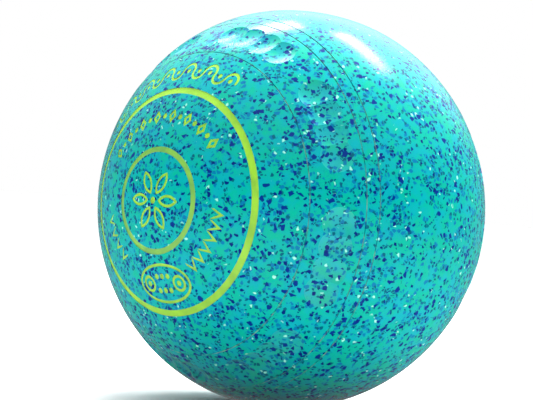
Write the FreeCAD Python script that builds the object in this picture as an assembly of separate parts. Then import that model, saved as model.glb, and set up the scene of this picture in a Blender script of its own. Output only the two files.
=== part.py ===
# Lawn bowl, size 3, built as it is made: a dense pressed core, two half shells of speckled resin
# moulded round it, and coloured enamel laid in the marks that are engraved on both sides.
# Millimetres, +Z up. The bowl rolls about an axis parallel to Y. The large-ring side faces -Y and the
# bias side faces +Y. The origin is on the ground, under the middle of the bowl's width.
import FreeCAD, Part
import math
import os

from FreeCAD import Vector

# Driving dimensions
DIAMETER = 121.0            # over the running sole
PLAIN_HALF_WIDTH = 56.7     # running plane to the middle of the large-ring side
BIAS_HALF_WIDTH = 59.1      # the bias side is the fuller one
SOLE_HALF_WIDTH = 8.0       # the flatter band that the bowl runs on, to each side of the running plane
CROWN_RADIUS = 66.0         # that band's radius across, a little more than half the diameter
PLAIN_POLE_RADIUS = 63.0
BIAS_POLE_RADIUS = 61.0
SHELL_THICKNESS = 9.0

ENGRAVING_DEPTH = 0.6
ENAMEL_RECESS = 0.1         # the enamel's top lies this far below the resin
BOLD_STROKE = 1.8           # width of the large rings
RING_STROKE = 1.6           # width of the small ring
FINE_STROKE = 0.8           # width of every other engraved line

# Turned lines on each side: distance from the running plane, all of one V section
TURNED_LINES = (22.2, 25.8, 38.5)
LINE_WIDTH = 0.35
LINE_DEPTH = 0.25

# Finger-grip dimples: groups of overlapping round hollows between the middle and the outer line
GRIP_GROUPS = 8
GRIPS_PER_GROUP = 4
GRIP_PITCH = 7.6            # degrees between neighbours
GRIP_FIRST_GROUP = 15.0     # degrees from the top to the middle of the first group
GRIP_OFFSET = 32.0          # distance from the running plane
GRIP_WIDTH = 9.5
GRIP_DEPTH = 1.1            # below the bowl's surface, at the middle

# Marks of the large-ring side: distances are from the axis, angles from the top towards +X
LARGE_RING_RADIUS = 32.2
SMALL_RING_RADIUS = 14.7
ROSETTE_RADIUS = 9.4
ROSETTE_PETALS = 6
ROSETTE_HEART = 2.0         # where the petals start, round a dot of half that radius
ROSETTE_TIP_ANGLE = 52.0    # between a petal's middle line and its edge, at its tips
ROSETTE_TURN = -30.0
SCROLL_RADIUS = 38.3
SCROLL_SPAN = (-56.0, 28.0)
SCROLL_BEND = 2.2           # radius of each half turn of the wave
BORDER_RADIUS = 24.6
BORDER_SPAN = (-58.0, 46.0)
BORDER_UNITS = 15
CHEVRON_RADIUS = 22.5
CHEVRON_SPANS = ((97.0, 142.0, 6), (-138.0, -108.0, 4))   # first angle, last angle, count
STAMP_RADIUS = 23.7
STAMP_ANGLE = 175.0
STAMP_WIDTH = 20.5
STAMP_HEIGHT = 11.4
STAMP_RING_OFFSET = 6.0     # from the middle of the oval to the ringed dot at each end
STAMP_RING_RADIUS = 2.0
STAMP_ROW_OFFSET = 2.0
STAMP_DOT_PITCH = 2.2
STAMP_DOT_RADIUS = 0.8
SCROLL_LAP = 5.0            # degrees that neighbouring bends of the wave run into each other
SCROLL_DOT_RADIUS = 0.7
LOZENGE_WIDTH = 3.0
LOZENGE_HEIGHT = 4.4
CHEVRON_WIDTH = 3.0
CHEVRON_HEIGHT = 4.2
CHEVRON_END = 1.0           # thickness of a chevron at its two ends
CHEVRON_POINT = 1.6         # thickness at its point

# Marks of the bias side
BIAS_RING_RADIUS = 23.0
BIAS_ROSETTE_RADIUS = 7.6
BIAS_BORDER_RADIUS = 15.2
BIAS_BORDER_SPAN = (-70.0, 70.0)
BIAS_BORDER_UNITS = 12
BIAS_SCROLL_RADIUS = 29.6
BIAS_SCROLL_SPAN = (-48.0, 48.0)
BIAS_CHEVRON_SPANS = ((120.0, 160.0, 4), (-160.0, -120.0, 4))

# Worked out from the driving dimensions
RADIUS = DIAMETER / 2
PLAIN, BIAS = -1, 1         # the way that each side faces along Y
HALF_WIDTH = {PLAIN: PLAIN_HALF_WIDTH, BIAS: BIAS_HALF_WIDTH}
POLE_RADIUS = {PLAIN: PLAIN_POLE_RADIUS, BIAS: BIAS_POLE_RADIUS}
RUNNING_PLANE_Y = (PLAIN_HALF_WIDTH - BIAS_HALF_WIDTH) / 2
CLEARANCE = 2.0             # how far cutting tools reach past the surface
Y_AXIS = Vector(0, 1, 0)

os.makedirs("parts", exist_ok=True)


def export(name, shape):
    """Moves a shape from the running plane's frame to the part's frame and writes its file."""
    shape.translate(Vector(0, RUNNING_PLANE_Y, RADIUS))
    shape.exportStep("parts/" + name + ".step")
    print(name, "solids", len(shape.Solids), "volume", round(shape.Volume, 1), "valid", shape.isValid())


# The bowl's outline: three tangent arcs from the running plane to the middle of a side. Points are
# (distance from the axis, distance from the running plane), kept in a vector's x and y.

def outline_arcs(side):
    """Gives centre and radius of the crown, shoulder and pole arcs, and the two joins between them."""
    crown = Vector(RADIUS - CROWN_RADIUS, 0, 0)
    pole = Vector(0, HALF_WIDTH[side] - POLE_RADIUS[side], 0)
    lean = math.asin(SOLE_HALF_WIDTH / CROWN_RADIUS)
    outward = Vector(math.cos(lean), math.sin(lean), 0)
    sole_edge = crown + outward * CROWN_RADIUS
    reach = sole_edge - pole
    beyond = reach.dot(outward) - POLE_RADIUS[side]
    shoulder_radius = (reach.dot(reach) - POLE_RADIUS[side] ** 2) / (2 * beyond)
    shoulder = sole_edge - outward * shoulder_radius
    arcs = ((crown, CROWN_RADIUS), (shoulder, shoulder_radius), (pole, POLE_RADIUS[side]))
    return arcs, outward, (shoulder - pole).normalize()


def half_bowl(side, inset):
    """The half of the bowl on one side of the running plane, with its surface moved in by inset."""
    arcs, sole_way, shoulder_way = outline_arcs(side)
    angles = (0, math.atan2(sole_way.y, sole_way.x), math.atan2(shoulder_way.y, shoulder_way.x), math.pi / 2)
    edges = []
    for (centre, radius), start, end in zip(arcs, angles[:-1], angles[1:]):
        circle = Part.Circle(centre, Vector(0, 0, 1), radius - inset)
        edges.append(Part.ArcOfCircle(circle, start, end).toShape())
    edges.append(Part.makeLine(Vector(0, HALF_WIDTH[side] - inset, 0), Vector(0, 0, 0)))
    edges.append(Part.makeLine(Vector(0, 0, 0), Vector(RADIUS - inset, 0, 0)))
    return turned(Part.Face(Part.Wire(edges)), side)


def turned(section, side):
    """A solid turned about the axis from a section drawn on the bias side, and mirrored for the other."""
    solid = section.revolve(Vector(0, 0, 0), Y_AXIS, 360)
    return solid.mirror(Vector(0, 0, 0), Y_AXIS) if side == PLAIN else solid


def surface_point(side, offset):
    """The distance from the axis and the outward way, at an offset from the running plane."""
    arcs, sole_way, shoulder_way = outline_arcs(side)
    for (centre, radius), end in zip(arcs, (sole_way, shoulder_way, Vector(0, 1, 0))):
        if offset <= centre.y + radius * end.y:
            rise = offset - centre.y
            way = Vector(math.sqrt(radius ** 2 - rise ** 2), rise, 0) / radius
            return centre.x + radius * way.x, way
    raise ValueError("offset is past the side")


# Flat figures in the XZ plane, drawn round the origin with their top towards +Z

def disc(radius, x=0.0, z=0.0):
    return Part.Face(Part.Wire(Part.makeCircle(radius, Vector(x, 0, z), Y_AXIS)))


def ring(radius, stroke, x=0.0, z=0.0):
    return disc(radius + stroke / 2, x, z).cut(disc(radius - stroke / 2, x, z))


def polygon(points):
    corners = [Vector(x, 0, z) for x, z in points]
    return Part.Face(Part.makePolygon(corners + corners[:1]))


def lozenge(width, height):
    return polygon([(0, height / 2), (width / 2, 0), (0, -height / 2), (-width / 2, 0)])


def open_lozenge(width, height, stroke):
    """A lozenge's outline: the inner one is smaller by the stroke, measured square to its sides."""
    shrink = 2 * stroke * math.hypot(width, height)
    return lozenge(width, height).cut(lozenge(width - shrink / height, height - shrink / width))


def arc_stroke(radius, stroke, start, end):
    """A line bent round the origin, between two angles counted from +Z towards +X."""
    def on_circle(distance, angle):
        return Vector(distance * math.sin(math.radians(angle)), 0, distance * math.cos(math.radians(angle)))
    outer, inner = radius + stroke / 2, radius - stroke / 2
    middle = (start + end) / 2
    edges = [
        Part.Arc(*[on_circle(outer, angle) for angle in (start, middle, end)]).toShape(),
        Part.makeLine(on_circle(outer, end), on_circle(inner, end)),
        Part.Arc(*[on_circle(inner, angle) for angle in (end, middle, start)]).toShape(),
        Part.makeLine(on_circle(inner, start), on_circle(outer, start)),
    ]
    return Part.Face(Part.Wire(edges))


def ellipse(width, height):
    curve = Part.Ellipse(Vector(0, 0, 0), width / 2, height / 2)
    face = Part.Face(Part.Wire(curve.toShape()))
    face.rotate(Vector(0, 0, 0), Vector(1, 0, 0), 90)
    return face


def placed(figure, radius, angle):
    """Sets a figure at a distance from the axis, its top outwards, and turns it round the axis."""
    figure = figure.copy()
    figure.translate(Vector(0, 0, radius))
    figure.rotate(Vector(0, 0, 0), Y_AXIS, angle)
    return figure


def spread(span, count):
    first, last = span
    return [first + (last - first) * i / (count - 1) for i in range(count)]


def joined(figures):
    """One flat shape of figures that touch or overlap."""
    whole = figures[0].fuse(figures[1:])
    return whole.removeSplitter()


# The marks

def rosette(radius, turn):
    """Outlined petals round a dot, each petal between two arcs that meet at its tips."""
    step = 360 / ROSETTE_PETALS
    length = radius - ROSETTE_HEART
    middle = ROSETTE_HEART + length / 2
    bow = length / (2 * math.sin(math.radians(ROSETTE_TIP_ANGLE)))
    aside = bow * math.cos(math.radians(ROSETTE_TIP_ANGLE))
    whole = disc(bow, -aside, middle).common(disc(bow, aside, middle))
    slim = bow - FINE_STROKE
    hollow = disc(slim, -aside, middle).common(disc(slim, aside, middle))
    petal = whole.cut(hollow)
    return [placed(petal, 0, turn + i * step) for i in range(ROSETTE_PETALS)] + [disc(ROSETTE_HEART / 2)]


def wave_scroll(radius, span):
    """A running wave of half turns, with a dot in the hollow of each."""
    step = math.degrees(2 * SCROLL_BEND / radius)
    count = int((span[1] - span[0]) / step) + 1
    bends, dots = [], []
    for i in range(count):
        flip = 180 * (i % 2)
        bend = arc_stroke(SCROLL_BEND, FINE_STROKE, flip - 90 - SCROLL_LAP, flip + 90 + SCROLL_LAP)
        bends.append(placed(bend, radius, span[0] + i * step))
        dots.append(placed(disc(SCROLL_DOT_RADIUS), radius, span[0] + i * step))
    return [joined(bends)] + dots


def lozenge_border(radius, span, count):
    """Outlined lozenges and dots, turn about, along an arc."""
    figures = []
    for i, angle in enumerate(spread(span, count)):
        if i % 2 == 0:
            figure = open_lozenge(LOZENGE_WIDTH, LOZENGE_HEIGHT, FINE_STROKE)
        else:
            figure = disc(FINE_STROKE)
        figures.append(placed(figure, radius, angle))
    return figures


def chevrons(radius, span, count):
    """Arrow heads with their points outwards, along an arc."""
    half, top, foot = CHEVRON_WIDTH / 2, CHEVRON_HEIGHT / 2, -CHEVRON_HEIGHT / 2
    points = [(0, top), (half, foot + CHEVRON_END), (half, foot),
              (0, top - CHEVRON_POINT), (-half, foot), (-half, foot + CHEVRON_END)]
    return [placed(polygon(points), radius, angle) for angle in spread(span, count)]


def stamp_marks():
    """Plain marks inside the oval: a ringed dot at each end, and two rows of dots between."""
    ends = (-STAMP_RING_OFFSET, STAMP_RING_OFFSET)
    rows = (-STAMP_ROW_OFFSET, STAMP_ROW_OFFSET)
    columns = (-STAMP_DOT_PITCH, 0.0, STAMP_DOT_PITCH)
    figures = [ring(STAMP_RING_RADIUS, FINE_STROKE, x) for x in ends]
    figures += [disc(FINE_STROKE, x) for x in ends]
    figures += [disc(STAMP_DOT_RADIUS, x, z) for z in rows for x in columns]
    return [placed(figure, STAMP_RADIUS, STAMP_ANGLE) for figure in figures]


stamp_frame = ellipse(STAMP_WIDTH, STAMP_HEIGHT).cut(ellipse(STAMP_WIDTH - 2 * FINE_STROKE,
                                                             STAMP_HEIGHT - 2 * FINE_STROKE))

MARKS = {
    PLAIN: {
        "enamel_large_ring": [ring(LARGE_RING_RADIUS, BOLD_STROKE)],
        "enamel_small_ring": [ring(SMALL_RING_RADIUS, RING_STROKE)],
        "enamel_rosette": rosette(ROSETTE_RADIUS, ROSETTE_TURN),
        "enamel_scroll": wave_scroll(SCROLL_RADIUS, SCROLL_SPAN),
        "enamel_lozenge_border": lozenge_border(BORDER_RADIUS, BORDER_SPAN, BORDER_UNITS),
        "enamel_chevrons_right": chevrons(CHEVRON_RADIUS, CHEVRON_SPANS[0][:2], CHEVRON_SPANS[0][2]),
        "enamel_chevrons_left": chevrons(CHEVRON_RADIUS, CHEVRON_SPANS[1][:2], CHEVRON_SPANS[1][2]),
        "enamel_stamp_frame": [placed(stamp_frame, STAMP_RADIUS, STAMP_ANGLE)],
        "enamel_stamp_marks": stamp_marks(),
    },
    BIAS: {
        "enamel_bias_ring": [ring(BIAS_RING_RADIUS, BOLD_STROKE)],
        "enamel_bias_rosette": rosette(BIAS_ROSETTE_RADIUS, 0),
        "enamel_bias_lozenge_border": lozenge_border(BIAS_BORDER_RADIUS, BIAS_BORDER_SPAN, BIAS_BORDER_UNITS),
        "enamel_bias_scroll": wave_scroll(BIAS_SCROLL_RADIUS, BIAS_SCROLL_SPAN),
        "enamel_bias_chevrons_right": chevrons(BIAS_BORDER_RADIUS, BIAS_CHEVRON_SPANS[0][:2],
                                               BIAS_CHEVRON_SPANS[0][2]),
        "enamel_bias_chevrons_left": chevrons(BIAS_BORDER_RADIUS, BIAS_CHEVRON_SPANS[1][:2],
                                              BIAS_CHEVRON_SPANS[1][2]),
    },
}


def turned_line(side, offset):
    """The V groove that a lathe tool leaves round the bowl at an offset from the running plane."""
    distance, outward = surface_point(side, offset)
    along = Vector(-outward.y, outward.x, 0)
    on_surface = Vector(distance, offset, 0)
    slope = LINE_DEPTH / (LINE_WIDTH / 2)
    bottom = on_surface - outward * LINE_DEPTH
    top_left = on_surface + outward * CLEARANCE + along * (LINE_WIDTH / 2 + CLEARANCE / slope)
    top_right = on_surface + outward * CLEARANCE - along * (LINE_WIDTH / 2 + CLEARANCE / slope)
    section = Part.Face(Part.makePolygon([bottom, top_right, top_left, bottom]))
    return turned(section, side)


def grip_dimples(side):
    """Balls that hollow the grips out: each leaves a round dimple of the grip's width and depth."""
    distance, outward = surface_point(side, GRIP_OFFSET)
    bulge = distance - math.sqrt(distance ** 2 - (GRIP_WIDTH / 2) ** 2)
    hollow = GRIP_DEPTH - bulge
    ball_radius = ((GRIP_WIDTH / 2) ** 2 + hollow ** 2) / (2 * hollow)
    centre = Vector(distance, GRIP_OFFSET, 0) + outward * (ball_radius - GRIP_DEPTH)
    balls = []
    for group in range(GRIP_GROUPS):
        for i in range(GRIPS_PER_GROUP):
            from_middle = (i - (GRIPS_PER_GROUP - 1) / 2) * GRIP_PITCH
            angle = math.radians(GRIP_FIRST_GROUP + group * 360 / GRIP_GROUPS + from_middle)
            place = Vector(centre.x * math.sin(angle), side * centre.y, centre.x * math.cos(angle))
            balls.append(Part.makeSphere(ball_radius, place))
    return balls


# The pieces

core = half_bowl(PLAIN, SHELL_THICKNESS).fuse(half_bowl(BIAS, SHELL_THICKNESS)).removeSplitter()
export("core", core)

for side, shell_name in ((PLAIN, "shell_plain_half"), (BIAS, "shell_bias_half")):
    below_engraving = half_bowl(side, ENGRAVING_DEPTH)
    below_recess = half_bowl(side, ENAMEL_RECESS)
    reach = Vector(0, side * (HALF_WIDTH[side] + CLEARANCE), 0)
    shell = half_bowl(side, 0).cut(half_bowl(side, SHELL_THICKNESS))
    shell = shell.cut(grip_dimples(side))
    shell = shell.cut([turned_line(side, offset) for offset in TURNED_LINES])
    for name, figures in MARKS[side].items():
        columns = Part.makeCompound([figure.extrude(reach) for figure in figures])
        columns = columns.cut(below_engraving)
        shell = shell.cut(columns)
        enamel = columns.common(below_recess)
        if len(enamel.Solids) != len(figures):
            raise ValueError(name + " has lost a mark")
        export(name, enamel)
    export(shell_name, shell)
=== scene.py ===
# A size 3 lawn bowl: two half shells of speckled teal resin over a heavy pressed core, with lime
# enamel wiped into the marks that are engraved on both sides.
import math

import bmesh
import bpy
import numpy as np
from mathutils import Matrix, Vector


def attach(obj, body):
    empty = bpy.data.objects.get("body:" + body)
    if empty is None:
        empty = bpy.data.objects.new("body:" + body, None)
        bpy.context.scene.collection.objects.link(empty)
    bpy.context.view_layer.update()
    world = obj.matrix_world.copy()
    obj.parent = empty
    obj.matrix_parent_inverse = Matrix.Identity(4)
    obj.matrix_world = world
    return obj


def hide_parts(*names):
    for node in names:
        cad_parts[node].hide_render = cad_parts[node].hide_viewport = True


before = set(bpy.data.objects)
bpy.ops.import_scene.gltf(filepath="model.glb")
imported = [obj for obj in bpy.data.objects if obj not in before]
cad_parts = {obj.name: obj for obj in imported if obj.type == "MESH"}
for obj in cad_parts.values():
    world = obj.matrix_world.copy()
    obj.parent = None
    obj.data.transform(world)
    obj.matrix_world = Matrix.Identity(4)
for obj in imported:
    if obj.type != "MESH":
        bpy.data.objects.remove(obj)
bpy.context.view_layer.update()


# ---- The two resin half shells ----
# Compression-moulded phenolic-type resin with coloured grains in it, turned on a lathe to the bowl's
# outline, scored with three fine lines a side, dimpled for the fingers, engraved and polished.
MM = 0.001
RADIUS = 60.5 * MM              # half the diameter over the running sole
RUNNING_PLANE = -1.2 * MM       # where the halves meet, along Y
CROWN_RADIUS = 66.0 * MM
PLAIN_HALF_WIDTH = 56.7 * MM    # from the running plane to the flattest point of that side
BIAS_HALF_WIDTH = 59.1 * MM
PLAIN_POLE_RADIUS = 63.0 * MM
BIAS_POLE_RADIUS = 61.0 * MM
SOLE_HALF_WIDTH = 8.0 * MM
SHELL_THICKNESS = 9.0 * MM
TURNED_LINES = (22.2 * MM, 25.8 * MM, 38.5 * MM)
LINE_WIDTH = 0.35 * MM
LINE_DEPTH = 0.25 * MM
ENGRAVING_DEPTH = 0.6 * MM
FACET = 1.0 * MM                # length of the steps that an arc is drawn in
LATHE_STEPS = 360
CLEAR_ABOVE = 2.0 * MM          # how far a cutter stands out of the surface
PER_MM = 1000.0                 # turns metres into millimetres for the materials
GRIP_OFFSET = 32.0 * MM
GRIP_WIDTH = 9.5 * MM
GRIP_DEPTH = 1.1 * MM
GRIP_GROUPS = 8
GRIPS_PER_GROUP = 4
GRIP_PITCH = 7.6                # degrees
GRIP_FIRST_GROUP = 15.0         # degrees from the top
GRIP_CAP_SPREAD = 25            # degrees from the tip of a grip's cutter to its edge
GRIP_CAP_RINGS = 14
GRIP_CAP_STEPS = 48


def outline_arcs(half_width, pole_radius):
    """Crown, shoulder and pole arcs as (centre, radius, first angle, last angle)."""
    crown = Vector((RADIUS - CROWN_RADIUS, 0, 0))
    pole = Vector((0, half_width - pole_radius, 0))
    lean = math.asin(SOLE_HALF_WIDTH / CROWN_RADIUS)
    outward = Vector((math.cos(lean), math.sin(lean), 0))
    reach = crown + outward * CROWN_RADIUS - pole
    beyond = reach.dot(outward) - pole_radius
    shoulder_radius = (reach.dot(reach) - pole_radius ** 2) / (2 * beyond)
    shoulder = crown + outward * (CROWN_RADIUS - shoulder_radius)
    turn = math.atan2(shoulder.y - pole.y, shoulder.x - pole.x)
    return ((crown, CROWN_RADIUS, 0.0, lean),
            (shoulder, shoulder_radius, lean, turn),
            (pole, pole_radius, turn, math.pi / 2))


def sweep(bm, vert, centre, radius, angle):
    """Carries the section on along an arc, and returns its new last point."""
    steps = max(1, round(radius * abs(angle) / FACET))
    swept = bmesh.ops.spin(bm, geom=[vert], cent=centre, axis=(0, 0, 1), angle=angle, steps=steps,
                           use_merge=False)
    return next(part for part in swept["geom_last"] if isinstance(part, bmesh.types.BMVert))


def carry(bm, vert, point):
    """Carries the section on in a straight line to a point."""
    last = bmesh.ops.extrude_vert_indiv(bm, verts=[vert])["verts"][0]
    last.co = point
    return last


def lathe(bm, steps):
    """Turns the section about the Y axis into a closed solid."""
    bmesh.ops.spin(bm, geom=bm.verts[:] + bm.edges[:], cent=(0, 0, 0), axis=(0, 1, 0),
                   angle=2 * math.pi, steps=steps, use_merge=True)
    bmesh.ops.remove_doubles(bm, verts=bm.verts, dist=0.0005 * MM)
    bmesh.ops.recalc_face_normals(bm, faces=bm.faces)


def into_place(bm, side):
    """Moves a turned solid from its lathe axis to its side of the bowl."""
    placing = Matrix.Translation((0, RUNNING_PLANE, RADIUS)) @ Matrix.Diagonal((1, side, 1, 1))
    bmesh.ops.transform(bm, matrix=placing, verts=bm.verts)
    bmesh.ops.recalc_face_normals(bm, faces=bm.faces)


def finished(bm, name):
    mesh = bpy.data.meshes.new(name)
    bm.to_mesh(mesh)
    bm.free()
    piece = bpy.data.objects.new(name, mesh)
    bpy.context.scene.collection.objects.link(piece)
    return piece


def cut(piece, cutter):
    """Takes the cutter out of the piece, and throws the cutter away."""
    taking = piece.modifiers.new("cut", "BOOLEAN")
    taking.operation = "DIFFERENCE"
    taking.solver = "MANIFOLD"
    taking.object = cutter
    evaluated = piece.evaluated_get(bpy.context.evaluated_depsgraph_get())
    result = bpy.data.meshes.new_from_object(evaluated)
    piece.modifiers.clear()
    before = piece.data
    piece.data = result
    bpy.data.meshes.remove(before)
    bpy.data.meshes.remove(cutter.data)


def turned_shell(arcs, half_width, side, name):
    bm = bmesh.new()
    first = last = bm.verts.new((RADIUS, 0, 0))
    for centre, radius, start, end in arcs:
        at = start
        for offset in TURNED_LINES:
            if not centre.y + radius * math.sin(start) < offset < centre.y + radius * math.sin(end):
                continue
            middle = math.asin((offset - centre.y) / radius)
            half = LINE_WIDTH / 2 / radius
            last = sweep(bm, last, centre, radius, middle - half - at)
            for depth, angle in ((LINE_DEPTH, middle), (0.0, middle + half)):
                way = Vector((math.cos(angle), math.sin(angle), 0))
                last = carry(bm, last, centre + way * (radius - depth))
            at = middle + half
        last = sweep(bm, last, centre, radius, end - at)
    last.co.x = 0
    last = bm.verts.new((0, half_width - SHELL_THICKNESS, 0))
    for centre, radius, start, end in reversed(arcs):
        last = sweep(bm, last, centre, radius - SHELL_THICKNESS, start - end)
    bm.edges.new((last, first))
    lathe(bm, LATHE_STEPS)
    into_place(bm, side)
    return finished(bm, name)


def grip_balls(arcs, side):
    """Centre and outward way of the ball that hollows each grip, and the balls' radius."""
    centre, radius = arcs[2][:2]
    angle = math.asin((GRIP_OFFSET - centre.y) / radius)
    distance = centre.x + radius * math.cos(angle)
    bulge = distance - math.sqrt(distance ** 2 - (GRIP_WIDTH / 2) ** 2)
    hollow = GRIP_DEPTH - bulge
    ball_radius = ((GRIP_WIDTH / 2) ** 2 + hollow ** 2) / (2 * hollow)
    balls = []
    for group in range(GRIP_GROUPS):
        for i in range(GRIPS_PER_GROUP):
            from_middle = (i - (GRIPS_PER_GROUP - 1) / 2) * GRIP_PITCH
            turn = math.radians(GRIP_FIRST_GROUP + group * 360 / GRIP_GROUPS + from_middle)
            way = Vector((math.cos(angle) * math.sin(turn), side * math.sin(angle),
                          math.cos(angle) * math.cos(turn)))
            start = Vector((distance * math.sin(turn), side * GRIP_OFFSET, distance * math.cos(turn)))
            start += Vector((0, RUNNING_PLANE, RADIUS))
            balls.append((start + way * (ball_radius - GRIP_DEPTH), way))
    return balls, ball_radius


def grip_cutter(balls, ball_radius):
    """The caps of the balls that reach into the bowl, as one cutter."""
    bm = bmesh.new()
    for centre, way in balls:
        cap = bmesh.new()
        tip = cap.verts.new((0, -ball_radius, 0))
        rim = bmesh.ops.spin(cap, geom=[tip], cent=(0, 0, 0), axis=(0, 0, 1), use_merge=False,
                             angle=math.radians(GRIP_CAP_SPREAD), steps=GRIP_CAP_RINGS)["geom_last"]
        rim = next(part for part in rim if isinstance(part, bmesh.types.BMVert))
        carry(cap, rim, (0, rim.co.y, 0))
        lathe(cap, GRIP_CAP_STEPS)
        turning = Vector((0, 1, 0)).rotation_difference(way).to_matrix().to_4x4()
        bmesh.ops.transform(cap, matrix=Matrix.Translation(centre) @ turning, verts=cap.verts)
        bmesh.ops.recalc_face_normals(cap, faces=cap.faces)
        shape = bpy.data.meshes.new("cap")
        cap.to_mesh(shape)
        cap.free()
        bm.from_mesh(shape)
        bpy.data.meshes.remove(shape)
    return finished(bm, "grip_cutter")


def surface_at(arcs, distance):
    """Offset from the running plane of the bowl's surface, at a distance from its axis."""
    for centre, radius, start, end in reversed(arcs):
        if distance <= centre.x + radius * math.cos(start):
            return centre.y + math.sqrt(radius ** 2 - (distance - centre.x) ** 2)
    return 0.0


def ring_radii(node):
    """Inner and outer radius of a ring-shaped node."""
    distances = [math.hypot(v.co.x, v.co.z - RADIUS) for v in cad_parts[node].data.vertices]
    return min(distances), max(distances)


def engraving_cutter(arcs, side, ring_nodes, mark_nodes):
    """Everything that the engraving tool takes out of one side, as one cutter."""
    bm = bmesh.new()
    for node in ring_nodes:
        inner, outer = ring_radii(node)
        groove = bmesh.new()
        first = last = groove.verts.new((inner, surface_at(arcs, inner) + CLEAR_ABOVE, 0))
        for distance in np.linspace(inner, outer, 4):
            last = carry(groove, last, (distance, surface_at(arcs, distance) - ENGRAVING_DEPTH, 0))
        last = carry(groove, last, (outer, surface_at(arcs, outer) + CLEAR_ABOVE, 0))
        groove.edges.new((last, first))
        lathe(groove, LATHE_STEPS)
        into_place(groove, side)
        shape = bpy.data.meshes.new("groove")
        groove.to_mesh(shape)
        groove.free()
        bm.from_mesh(shape)
        bpy.data.meshes.remove(shape)
    for node in mark_nodes:
        marks = bmesh.new()
        marks.from_mesh(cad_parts[node].data)
        bmesh.ops.remove_doubles(marks, verts=marks.verts, dist=0.001 * MM)
        for vert in marks.verts:
            distance = math.hypot(vert.co.x, vert.co.z - RADIUS)
            below = surface_at(arcs, distance) - side * (vert.co.y - RUNNING_PLANE)
            if below < ENGRAVING_DEPTH / 2:
                vert.co.y += side * CLEAR_ABOVE
        shape = bpy.data.meshes.new("marks")
        marks.to_mesh(shape)
        marks.free()
        bm.from_mesh(shape)
        bpy.data.meshes.remove(shape)
    return finished(bm, "engraving_cutter")


def polish(piece, side, arcs, balls, ball_radius):
    """Gives the turned surface and the grips their true normals, and marks grips and turned lines."""
    mesh = piece.data
    count = len(mesh.vertices)
    spots = np.empty(count * 3, np.float32)
    mesh.vertices.foreach_get("co", spots)
    spots = spots.reshape(-1, 3).astype(np.float64)
    corner_vert = np.empty(len(mesh.loops), np.int32)
    mesh.loops.foreach_get("vertex_index", corner_vert)
    face_start = np.empty(len(mesh.polygons), np.int32)
    mesh.polygons.foreach_get("loop_start", face_start)
    face_size = np.empty(len(mesh.polygons), np.int32)
    mesh.polygons.foreach_get("loop_total", face_size)
    face_normal = np.empty(len(mesh.polygons) * 3, np.float32)
    mesh.polygons.foreach_get("normal", face_normal)
    face_normal = face_normal.reshape(-1, 3)
    face_of = np.repeat(np.arange(len(face_start)), face_size)

    x, along, z = spots[:, 0], side * (spots[:, 1] - RUNNING_PLANE), spots[:, 2] - RADIUS
    distance = np.hypot(x, z)
    height = np.full(count, 1.0)
    true = np.zeros((count, 3))
    for centre, radius, start, end in arcs:
        out, up = distance - centre.x, along - centre.y
        angle = np.arctan2(up, out)
        off = np.hypot(out, up) - radius
        here = (angle > start - 0.001) & (angle < end + 0.001) & (np.abs(off) < np.abs(height))
        height[here] = off[here]
        level = np.cos(angle) / np.maximum(distance, 1e-9)
        normal = np.stack((x * level, side * np.sin(angle), z * level), axis=1)
        true[here] = normal[here]

    def whole_faces(on):
        return np.minimum.reduceat(on[corner_vert].astype(np.int8), face_start).astype(bool)

    normals = face_normal[face_of].astype(np.float64)
    turned = whole_faces(np.abs(height) < 0.01 * MM)[face_of]
    normals[turned] = true[corner_vert[turned]]
    grip = np.zeros(len(mesh.loops), np.float32)
    for centre, _ in balls:
        inward = np.array(centre) - spots
        length = np.linalg.norm(inward, axis=1)
        on_ball = whole_faces(np.abs(length - ball_radius) < 0.02 * MM)[face_of] & ~turned
        normals[on_ball] = (inward / length[:, None])[corner_vert[on_ball]]
        grip[on_ball] = 1.0
    near_line = np.any([np.abs(along - offset) < LINE_WIDTH for offset in TURNED_LINES], axis=0)
    in_line = near_line & (np.abs(height + LINE_DEPTH) < 0.02 * MM)
    line = np.maximum.reduceat(in_line[corner_vert].astype(np.float32), face_start)[face_of]

    for name, values in (("hand_grip", grip), ("turned_line", line)):
        mesh.attributes.new(name, "FLOAT", "CORNER").data.foreach_set("value", values.astype(np.float32))
    mesh.polygons.foreach_set("use_smooth", np.ones(len(mesh.polygons), bool))
    mesh.normals_split_custom_set(normals.tolist())


def linear(hex_colour):
    """An sRGB hex colour as the linear colour that a socket takes."""
    parts = [int(hex_colour[i:i + 2], 16) / 255 for i in (1, 3, 5)]
    return tuple(p / 12.92 if p <= 0.04045 else ((p + 0.055) / 1.055) ** 2.4 for p in parts) + (1.0,)


def add(tree, kind, feeds, **settings):
    """Adds a node. Each feed is a value for a socket, or another node's socket to link to it."""
    node = tree.nodes.new(kind)
    for name, value in settings.items():
        setattr(node, name, value)
    for socket, value in feeds.items():
        if isinstance(value, bpy.types.NodeSocket):
            tree.links.new(value, node.inputs[socket])
        else:
            node.inputs[socket].default_value = value
    return node


def new_material(name):
    material = bpy.data.materials.new(name)
    material.use_nodes = True
    material.node_tree.nodes.clear()
    return material, material.node_tree


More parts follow.
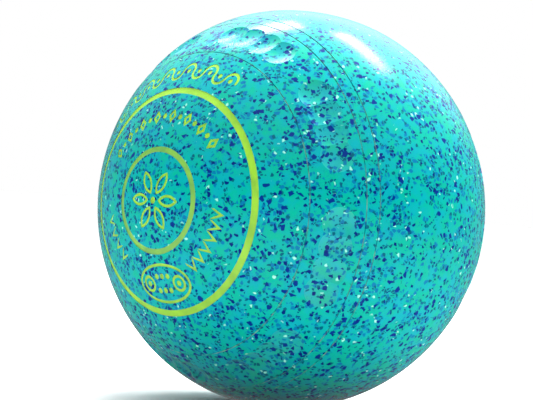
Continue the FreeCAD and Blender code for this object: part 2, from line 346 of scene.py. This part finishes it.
def grains(tree, place, crowd, size, shift, share, crowding, gap, soft):
    """How far each point lies in one kind of grain: size in mm, share of cells filled, and how
    much the crowded places add to that share. Soft is how wide the grain's edge fades."""
    moved = add(tree, "ShaderNodeVectorMath", {0: place, 1: (shift, shift * 0.7, -shift)},
                operation="ADD").outputs[0]
    cell = add(tree, "ShaderNodeTexVoronoi", {"Vector": moved, "Scale": 1 / size}, feature="F1")
    edge = add(tree, "ShaderNodeTexVoronoi", {"Vector": moved, "Scale": 1 / size},
               feature="DISTANCE_TO_EDGE")
    draw = add(tree, "ShaderNodeSeparateColor", {"Color": cell.outputs["Color"]})
    limit = add(tree, "ShaderNodeMath", {0: crowd, 1: crowding, 2: share}, operation="MULTIPLY_ADD")
    chosen = add(tree, "ShaderNodeMath", {0: draw.outputs[0], 1: limit.outputs[0]},
                 operation="LESS_THAN")
    inside = add(tree, "ShaderNodeMapRange", {"Value": edge.outputs["Distance"], "From Min": gap,
                                              "From Max": gap + soft})
    return add(tree, "ShaderNodeMath", {0: chosen.outputs[0], 1: inside.outputs[0]},
               operation="MULTIPLY").outputs[0]


def speckled_resin():
    """Polished speckled resin: clear, even gloss over a mottled teal body with crisp navy grains, soft
    pale mint ones and cloudy blue veins. Handling leaves the grips satin."""
    material, tree = new_material("polished_speckled_resin")
    spot = add(tree, "ShaderNodeTexCoord", {}).outputs["Object"]
    mm = add(tree, "ShaderNodeVectorMath", {0: spot, "Scale": PER_MM}, operation="SCALE").outputs[0]
    stir = add(tree, "ShaderNodeTexNoise", {"Vector": mm, "Scale": 0.9, "Detail": 2.0})
    shove = add(tree, "ShaderNodeVectorMath", {0: stir.outputs["Color"], 1: (0.5, 0.5, 0.5)},
                operation="SUBTRACT").outputs[0]
    place = add(tree, "ShaderNodeVectorMath", {0: shove, 1: (0.45, 0.45, 0.45), 2: mm},
                operation="MULTIPLY_ADD").outputs[0]

    # Grains gather in drifts about 9 mm across.
    drift = add(tree, "ShaderNodeTexNoise", {"Vector": mm, "Scale": 0.11, "Detail": 3.0})
    crowd = add(tree, "ShaderNodeMapRange", {"Value": drift.outputs[0], "From Min": 0.42,
                                             "From Max": 0.68}).outputs[0]

    # The body mixes a greener and a bluer teal in patches about 4 mm across.
    patch = add(tree, "ShaderNodeTexNoise", {"Vector": place, "Scale": 0.26, "Detail": 4.0})
    patchy = add(tree, "ShaderNodeMapRange", {"Value": patch.outputs[0], "From Min": 0.38,
                                              "From Max": 0.62}).outputs[0]
    body = add(tree, "ShaderNodeMix", {0: patchy, 6: linear("#009a82"), 7: linear("#029198")},
               data_type="RGBA").outputs[2]
    grip = add(tree, "ShaderNodeAttribute", {}, attribute_name="hand_grip").outputs["Fac"]
    haze = add(tree, "ShaderNodeMath", {0: grip, 1: 0.05}, operation="MULTIPLY").outputs[0]
    body = add(tree, "ShaderNodeMix", {0: haze, 6: body, 7: linear("#6fb7b4")},
               data_type="RGBA").outputs[2]

    # Veins: thin cloudy bands of blue that branch, 1 to 3 mm apart.
    cloud = add(tree, "ShaderNodeTexNoise", {"Vector": place, "Scale": 0.62, "Detail": 3.0,
                                             "Roughness": 0.6})
    ridge = add(tree, "ShaderNodeMath", {0: cloud.outputs[0], 1: 0.5}, operation="SUBTRACT")
    ridge = add(tree, "ShaderNodeMath", {0: ridge.outputs[0]}, operation="ABSOLUTE")
    vein = add(tree, "ShaderNodeMapRange", {"Value": ridge.outputs[0], "From Min": 0.03,
                                            "From Max": 0.0, "To Max": 0.55})
    vein = add(tree, "ShaderNodeMath", {0: vein.outputs[0], 1: crowd}, operation="MULTIPLY")
    colour = add(tree, "ShaderNodeMix", {0: vein.outputs[0], 6: body, 7: linear("#00648e")},
                 data_type="RGBA").outputs[2]

    # Grains, from the faintest to the strongest.
    for size, shift, share, crowding, gap, soft, hex_colour in (
            (1.30, 31.0, 0.22, 0.22, 0.02, 0.16, "#006690"),
            (0.95, 57.0, 0.16, 0.06, 0.05, 0.08, "#005268"),
            (1.05, 83.0, 0.018, 0.04, 0.10, 0.20, "#86d2c0"),
            (1.55, 11.0, 0.07, 0.11, 0.08, 0.06, "#002a74"),
            (1.15, 97.0, 0.08, 0.10, 0.09, 0.06, "#002268")):
        mask = grains(tree, place, crowd, size, shift, share, crowding, gap, soft)
        colour = add(tree, "ShaderNodeMix", {0: mask, 6: colour, 7: linear(hex_colour)},
                     data_type="RGBA").outputs[2]

    # Polishing paste stays in the turned lines: pale beige patches are the paste, and the dark blue
    # patches between them are painted groove shade.
    line = add(tree, "ShaderNodeAttribute", {}, attribute_name="turned_line").outputs["Fac"]
    paste_shade_patches = add(tree, "ShaderNodeTexNoise", {"Vector": mm, "Scale": 0.35, "Detail": 3.0})
    paste_shade_patches = add(tree, "ShaderNodeMapRange", {"Value": paste_shade_patches.outputs[0], "From Min": 0.4,
                                             "From Max": 0.65})
    # Noise patches of dark blue (painted shade in the grooves) and pale beige (polishing paste).
    paste_and_groove_shade = add(tree, "ShaderNodeMix", {0: paste_shade_patches.outputs[0], 6: linear("#0a6e84"),
                                       7: linear("#86b59c")}, data_type="RGBA").outputs[2]
    line = add(tree, "ShaderNodeMath", {0: line, 1: 0.5}, operation="MULTIPLY").outputs[0]
    colour = add(tree, "ShaderNodeMix", {0: line, 6: colour, 7: paste_and_groove_shade}, data_type="RGBA").outputs[2]

    # Handled grips are less shiny than the polished body.
    scuff = add(tree, "ShaderNodeTexNoise", {"Vector": mm, "Scale": 0.5, "Detail": 6.0,
                                             "Roughness": 0.7})
    shine = add(tree, "ShaderNodeMapRange", {"Value": scuff.outputs[0], "From Min": 0.3,
                                             "From Max": 0.7, "To Min": 0.14, "To Max": 0.26})
    rough = add(tree, "ShaderNodeMath", {0: grip, 1: 0.12, 2: shine.outputs[0]},
                operation="MULTIPLY_ADD").outputs[0]
    ripple = add(tree, "ShaderNodeTexNoise", {"Vector": mm, "Scale": 1.6, "Detail": 4.0})
    bump = add(tree, "ShaderNodeBump", {"Strength": 0.12, "Distance": 0.02 * MM,
                                        "Height": ripple.outputs[0]})
    resin = add(tree, "ShaderNodeBsdfPrincipled", {"Base Color": colour, "Roughness": rough,
                                                   "IOR": 1.38, "Specular IOR Level": 0.24,
                                                   "Normal": bump.outputs[0]})
    add(tree, "ShaderNodeOutputMaterial", {"Surface": resin.outputs[0]})
    return material


resin = speckled_resin()
PLAIN_ARCS = outline_arcs(PLAIN_HALF_WIDTH, PLAIN_POLE_RADIUS)
BIAS_ARCS = outline_arcs(BIAS_HALF_WIDTH, BIAS_POLE_RADIUS)
PLAIN_RINGS = ("enamel_large_ring", "enamel_small_ring")
PLAIN_MARKS = ("enamel_rosette", "enamel_scroll", "enamel_lozenge_border", "enamel_chevrons_right",
               "enamel_chevrons_left", "enamel_stamp_frame", "enamel_stamp_marks")
BIAS_RINGS = ("enamel_bias_ring",)
BIAS_MARKS = ("enamel_bias_rosette", "enamel_bias_lozenge_border", "enamel_bias_scroll",
              "enamel_bias_chevrons_right", "enamel_bias_chevrons_left")

for side, arcs, half_width, rings, marks, node in (
        (-1, PLAIN_ARCS, PLAIN_HALF_WIDTH, PLAIN_RINGS, PLAIN_MARKS, "shell_plain_half"),
        (1, BIAS_ARCS, BIAS_HALF_WIDTH, BIAS_RINGS, BIAS_MARKS, "shell_bias_half")):
    shell = turned_shell(arcs, half_width, side, node.replace("shell", "resin"))
    balls, ball_radius = grip_balls(arcs, side)
    cut(shell, engraving_cutter(arcs, side, rings, marks))
    cut(shell, grip_cutter(balls[0::2], ball_radius))
    cut(shell, grip_cutter(balls[1::2], ball_radius))
    polish(shell, side, arcs, balls, ball_radius)
    shell.data.materials.clear()
    shell.data.materials.append(resin)
    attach(shell, "root")
    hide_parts(node)


# ---- The enamel rings ----
# Lime enamel wiped into the turned ring grooves and left to level: it lies just under the resin,
# with a shallow hollow along its middle and a soft gloss.
ENAMEL_RECESS = 0.1 * MM
ENAMEL_HOLLOW = 0.06 * MM       # how much lower the middle of a ring's enamel dries


def wiped_enamel(name, bright, dull):
    """Air-dried enamel: a smooth, soft gloss, a little thinner and duller in patches."""
    material, tree = new_material(name)
    spot = add(tree, "ShaderNodeTexCoord", {}).outputs["Object"]
    mm = add(tree, "ShaderNodeVectorMath", {0: spot, "Scale": PER_MM}, operation="SCALE").outputs[0]
    thin = add(tree, "ShaderNodeTexNoise", {"Vector": mm, "Scale": 0.18, "Detail": 4.0})
    patchy = add(tree, "ShaderNodeMapRange", {"Value": thin.outputs[0], "From Min": 0.4,
                                              "From Max": 0.66}).outputs[0]
    colour = add(tree, "ShaderNodeMix", {0: patchy, 6: linear(bright), 7: linear(dull)},
                 data_type="RGBA").outputs[2]
    speck = add(tree, "ShaderNodeTexNoise", {"Vector": mm, "Scale": 2.2, "Detail": 2.0})
    worn = add(tree, "ShaderNodeMapRange", {"Value": speck.outputs[0], "From Min": 0.66,
                                            "From Max": 0.74, "To Max": 0.5}).outputs[0]
    colour = add(tree, "ShaderNodeMix", {0: worn, 6: colour, 7: linear("#3f9a6a")},
                 data_type="RGBA").outputs[2]
    rough = add(tree, "ShaderNodeMapRange", {"Value": thin.outputs[0], "From Min": 0.3,
                                             "From Max": 0.7, "To Min": 0.3, "To Max": 0.46})
    bump = add(tree, "ShaderNodeBump", {"Strength": 0.2, "Distance": 0.03 * MM,
                                        "Height": speck.outputs[0]})
    paint = add(tree, "ShaderNodeBsdfPrincipled",
                {"Base Color": colour, "Roughness": rough.outputs[0], "IOR": 1.5,
                 "Normal": bump.outputs[0]})
    add(tree, "ShaderNodeOutputMaterial", {"Surface": paint.outputs[0]})
    return material


lime = wiped_enamel("wiped_lime_enamel", "#86bc2c", "#74a828")
olive = wiped_enamel("thin_lime_enamel", "#74ac40", "#5f9844")

for node, side, arcs, enamel in (("enamel_large_ring", -1, PLAIN_ARCS, lime),
                                 ("enamel_small_ring", -1, PLAIN_ARCS, olive),
                                 ("enamel_bias_ring", 1, BIAS_ARCS, lime)):
    inner, outer = ring_radii(node)
    bm = bmesh.new()
    first = last = bm.verts.new((inner, surface_at(arcs, inner) - ENGRAVING_DEPTH, 0))
    for distance in np.linspace(inner, outer, 7):
        across = (distance - inner) / (outer - inner)
        hollow = ENAMEL_HOLLOW * math.sin(math.pi * across)
        last = carry(bm, last, (distance, surface_at(arcs, distance) - ENAMEL_RECESS - hollow, 0))
    last = carry(bm, last, (outer, surface_at(arcs, outer) - ENGRAVING_DEPTH, 0))
    bm.edges.new((last, first))
    lathe(bm, LATHE_STEPS)
    into_place(bm, side)
    ring = finished(bm, node.replace("enamel", "wiped"))
    ring.data.shade_smooth()
    ring.data.set_sharp_from_angle(angle=math.radians(35))
    ring.data.materials.append(enamel)
    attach(ring, "root")
    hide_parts(node)


# ---- The enamelled marks ----
# The same enamel in the fine engraving: emblem, borders, short borders and oval stamp. Each patch
# fills its own pocket, so these keep the shape that they were designed with.
for node in PLAIN_MARKS + BIAS_MARKS:
    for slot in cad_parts[node].material_slots:
        slot.material = lime


# ---- The core ----
# Dense mineral-filled resin, pressed into a ball before the shells go on. It has the dull, slightly
# sandy face of a pressed moulding that was never polished.
material, tree = new_material("pressed_filled_resin")
spot = add(tree, "ShaderNodeTexCoord", {}).outputs["Object"]
mm = add(tree, "ShaderNodeVectorMath", {0: spot, "Scale": PER_MM}, operation="SCALE").outputs[0]
sand = add(tree, "ShaderNodeTexNoise", {"Vector": mm, "Scale": 1.2, "Detail": 5.0})
shade = add(tree, "ShaderNodeMapRange", {"Value": sand.outputs[0], "From Min": 0.35,
                                         "From Max": 0.65}).outputs[0]
colour = add(tree, "ShaderNodeMix", {0: shade, 6: linear("#26262a"), 7: linear("#3a3a3c")},
             data_type="RGBA").outputs[2]
bump = add(tree, "ShaderNodeBump", {"Strength": 0.4, "Distance": 0.05 * MM,
                                    "Height": sand.outputs[0]})
pressed = add(tree, "ShaderNodeBsdfPrincipled", {"Base Color": colour, "Roughness": 0.62,
                                                 "IOR": 1.55, "Normal": bump.outputs[0]})
add(tree, "ShaderNodeOutputMaterial", {"Surface": pressed.outputs[0]})
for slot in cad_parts["core"].material_slots:
    slot.material = material


# ---- Camera, floor and studio light ----
# A level camera ten radii off on the large-ring side, and a plain white floor that runs out to a
# white room. A window lamp hangs overhead, and two soft boxes above and behind give the highlights.
CAMERA_DISTANCE = 10            # this and the two shifts are in radii of the bowl
CAMERA_SHIFT_LEFT = 0.1115
CAMERA_SHIFT_UP = 0.045
FLOOR_RADIUS = 12.0
SOFT_BOX_DISTANCE = 0.8
WINDOW_DISTANCE = 1.1
azimuth, roll = math.radians(43.96), math.radians(3.9)
middle = Vector((0, RUNNING_PLANE, RADIUS))
level = Vector((math.cos(azimuth), math.sin(azimuth), 0))
back = Vector((math.sin(azimuth), -math.cos(azimuth), 0))
right = level * math.cos(roll) + Vector((0, 0, math.sin(roll)))
up = level * -math.sin(roll) + Vector((0, 0, math.cos(roll)))
stand = middle + back * (CAMERA_DISTANCE * RADIUS)
stand += up * (CAMERA_SHIFT_UP * RADIUS) - right * (CAMERA_SHIFT_LEFT * RADIUS)
camera = bpy.data.objects.new("camera", bpy.data.cameras.new("camera"))
camera.data.lens = 133.5
camera.data.sensor_width = 36.0
camera.data.clip_start = 0.02
camera.matrix_world = Matrix.Translation(stand) @ Matrix((right, up, back)).transposed().to_4x4()
bpy.context.scene.collection.objects.link(camera)
bpy.context.scene.camera = camera
bpy.context.scene.view_settings.view_transform = "Standard"

bm = bmesh.new()
bmesh.ops.create_circle(bm, cap_ends=True, segments=96, radius=FLOOR_RADIUS)
floor = finished(bm, "floor")
floor.visible_glossy = False        # its reflection would turn the lower half of the bowl milky
material, tree = new_material("white_card")
card = add(tree, "ShaderNodeBsdfPrincipled", {"Base Color": (0.80, 0.80, 0.80, 1.0),
                                              "Roughness": 0.9})
add(tree, "ShaderNodeOutputMaterial", {"Surface": card.outputs[0]})
floor.data.materials.append(material)

for name, way, power, width, depth in (
        ("soft_box_left", level * -0.22 + back * -0.50 + Vector((0, 0, 0.84)), 3.5, 0.34, 0.12),
        ("soft_box_right", level * 0.34 + back * -0.42 + Vector((0, 0, 0.84)), 3.5, 0.34, 0.12)):
    lamp = bpy.data.lights.new(name, "AREA")
    lamp.shape, lamp.size, lamp.size_y, lamp.energy = "RECTANGLE", width, depth, power
    box = bpy.data.objects.new(name, lamp)
    box.location = middle + way.normalized() * SOFT_BOX_DISTANCE
    box.rotation_euler = way.to_track_quat("Z", "Y").to_euler()
    bpy.context.scene.collection.objects.link(box)

key = bpy.data.lights.new("window_key", "AREA")
key.shape, key.size, key.energy = "SQUARE", 0.7, 40.0
overhead = (level * 0.15 - back * 0.22 + Vector((0, 0, 0.96))).normalized()
pane = bpy.data.objects.new("window_key", key)
pane.location = middle + overhead * WINDOW_DISTANCE
pane.rotation_euler = overhead.to_track_quat("Z", "Y").to_euler()
pane.visible_glossy = False         # the gloss mirrors the skylight of the room instead
bpy.context.scene.collection.objects.link(pane)

# The room: dim walls, a bright ceiling, and a skylight above and behind that the gloss mirrors.
window = (level * 0.15 - back * 0.62 + Vector((0, 0, 0.77))).normalized()
world = bpy.data.worlds.new("white_room")
bpy.context.scene.world = world
world.use_nodes = True
tree = world.node_tree
tree.nodes.clear()
way = add(tree, "ShaderNodeTexCoord", {}).outputs["Generated"]
facing = add(tree, "ShaderNodeVectorMath", {0: way, 1: tuple(back)}, operation="DOT_PRODUCT")
wall = add(tree, "ShaderNodeMapRange", {"Value": facing.outputs["Value"], "From Min": 0.35,
                                        "From Max": -0.55, "To Min": 0.07, "To Max": 0.26})
height = add(tree, "ShaderNodeSeparateXYZ", {0: way})
ceiling = add(tree, "ShaderNodeMapRange", {"Value": height.outputs["Z"], "From Min": 0.15,
                                           "From Max": 0.8, "To Max": 1.1})
toward = add(tree, "ShaderNodeVectorMath", {0: way, 1: tuple(window)}, operation="DOT_PRODUCT")
skylight = add(tree, "ShaderNodeMapRange", {"Value": toward.outputs["Value"], "From Min": 0.72,
                                            "From Max": 0.97, "To Max": 1.7},
               interpolation_type="SMOOTHSTEP")
wall = add(tree, "ShaderNodeMath", {0: wall.outputs[0], 1: ceiling.outputs[0]}, operation="ADD")
wall = add(tree, "ShaderNodeMath", {0: wall.outputs[0], 1: skylight.outputs[0]}, operation="ADD")
straight = add(tree, "ShaderNodeLightPath", {}).outputs["Is Camera Ray"]
glow = add(tree, "ShaderNodeMix", {0: straight, 2: wall.outputs[0], 3: 1.0}, data_type="FLOAT")
room = add(tree, "ShaderNodeBackground", {"Color": (1.0, 1.0, 1.0, 1.0),
                                          "Strength": glow.outputs[0]})
add(tree, "ShaderNodeOutputWorld", {"Surface": room.outputs[0]})
